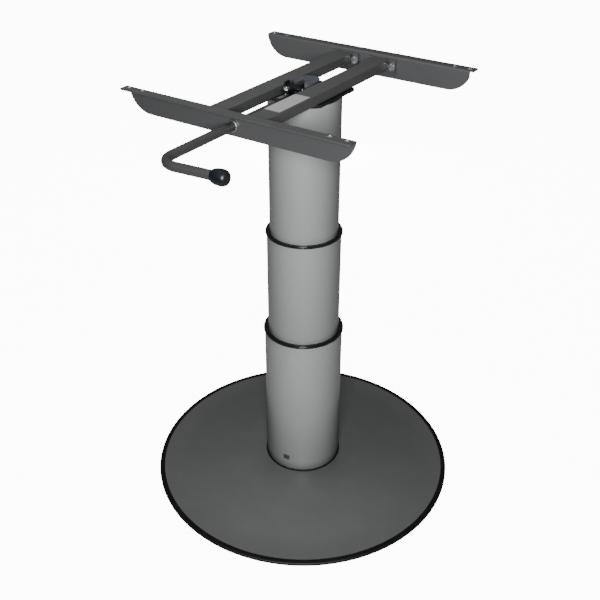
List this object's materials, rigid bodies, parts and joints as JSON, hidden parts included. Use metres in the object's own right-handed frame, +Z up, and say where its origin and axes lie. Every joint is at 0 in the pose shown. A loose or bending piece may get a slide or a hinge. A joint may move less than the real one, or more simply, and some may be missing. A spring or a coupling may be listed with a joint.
{
  "type": "telescoping pedestal table base",
  "caption": "Pedestal table foot and frame: dished round base, telescoping column of round tubes on a gas spring, rails for a table top, and a cranked release lever.",
  "frame": {"origin": "on the floor, on the column's axis", "axes": "+Z up along the column, +X along the rails towards the lever's knob, +Y along the cross tubes from the lever's rail to the bolted rail"},
  "size_m": [0.5015, 0.5561, 0.6809],
  "materials": {
    "base_paint": "satin dark grey powder coat",
    "edge_rubber": "soft black rubber",
    "column_paint": "satin light grey powder coat",
    "collar_plastic": "glossy black",
    "guide_plastic": "natural matte",
    "plain_steel": "turned",
    "bright_rod": "polished",
    "spring_paint": "gloss black",
    "seal_rubber": "matte",
    "zinc_hardware": "bright zinc plate",
    "black_paint": "satin black powder coat",
    "black_screws": "black oxide",
    "head_zinc": "blue-grey zinc, worn",
    "frame_paint": "satin dark grey metallic",
    "label_foil": "blank grey foil",
    "lever_paint": "satin dark grey",
    "knob_plastic": "glossy black"
  },
  "bodies": {
    "foot": {"base_plate": "base_paint", "edge_trim": "edge_rubber", "foot_gasket": "edge_rubber", "foot_screws": "zinc_hardware", "foot_disc": "plain_steel", "outer_tube": "column_paint", "slot_plug": "collar_plastic", "outer_key": "guide_plastic", "lower_collar": "collar_plastic", "spring_rod": "bright_rod", "rod_piston": "plain_steel", "rod_nut": "zinc_hardware"},
    "middle_stage": {"mid_tube": "column_paint", "mid_guide_ring": "guide_plastic", "mid_carrier": "plain_steel", "mid_key": "guide_plastic", "upper_collar": "collar_plastic", "spring_mid_tube": "bright_rod", "spring_mid_seal": "seal_rubber", "spring_mid_piston": "plain_steel", "spring_mid_clip": "zinc_hardware"},
    "top_stage": {"top_tube": "column_paint", "top_guide_ring": "guide_plastic", "top_disc": "plain_steel", "spring_cylinder": "spring_paint", "spring_cylinder_seal": "seal_rubber", "head_plate": "black_paint", "plate_screws": "black_screws", "release_head": "head_zinc", "pivot_ears": "black_paint", "pivot_pin": "zinc_hardware", "cross_tube_left": "frame_paint", "cross_tube_right": "frame_paint", "near_rail": "frame_paint", "far_rail": "frame_paint", "end_plates": "frame_paint", "rail_bolts": "zinc_hardware", "rail_washers": "zinc_hardware", "rail_nuts": "zinc_hardware", "shaft_bush": "zinc_hardware", "shaft_block": "collar_plastic", "blank_label": "label_foil"},
    "lever": {"lever_rod": "lever_paint", "lever_knob": "knob_plastic", "shaft_clip": "zinc_hardware", "crank_disc": "black_paint", "crank_finger": "zinc_hardware"},
    "rocker": {"rocker_arm": "black_paint", "adjusting_screw": "zinc_hardware", "adjusting_nut": "zinc_hardware"},
    "valve": {"valve_pin": "zinc_hardware"}
  },
  "joints": [
    {"name": "middle_slide", "type": "slide", "parent": "foot", "child": "middle_stage", "axis": [0, 0, 1], "range_m": [-0.166, 0]},
    {"name": "top_slide", "type": "slide", "parent": "middle_stage", "child": "top_stage", "axis": [0, 0, 1], "range_m": [-0.166, 0]},
    {"name": "lever_turn", "type": "hinge", "parent": "top_stage", "child": "lever", "pos_m": [0, -0.159, 0.662], "axis": [0, 1, 0], "range_deg": [0, 20], "stiffness_Nm_per_rad": 4, "springref_deg": -8.59},
    {"name": "rocker_tilt", "type": "hinge", "parent": "top_stage", "child": "rocker", "pos_m": [0, -0.02, 0.6716], "axis": [1, 0, 0], "range_deg": [-6.6, 0]},
    {"name": "valve_press", "type": "slide", "parent": "top_stage", "child": "valve", "axis": [0, 0, 1], "range_m": [-0.0025, 0]}
  ],
  "couplings": [
    {"joint": "rocker_tilt", "follows": "lever_turn", "ratio": -0.3293},
    {"joint": "valve_press", "follows": "lever_turn", "m_per_rad": -0.00702}
  ]
}
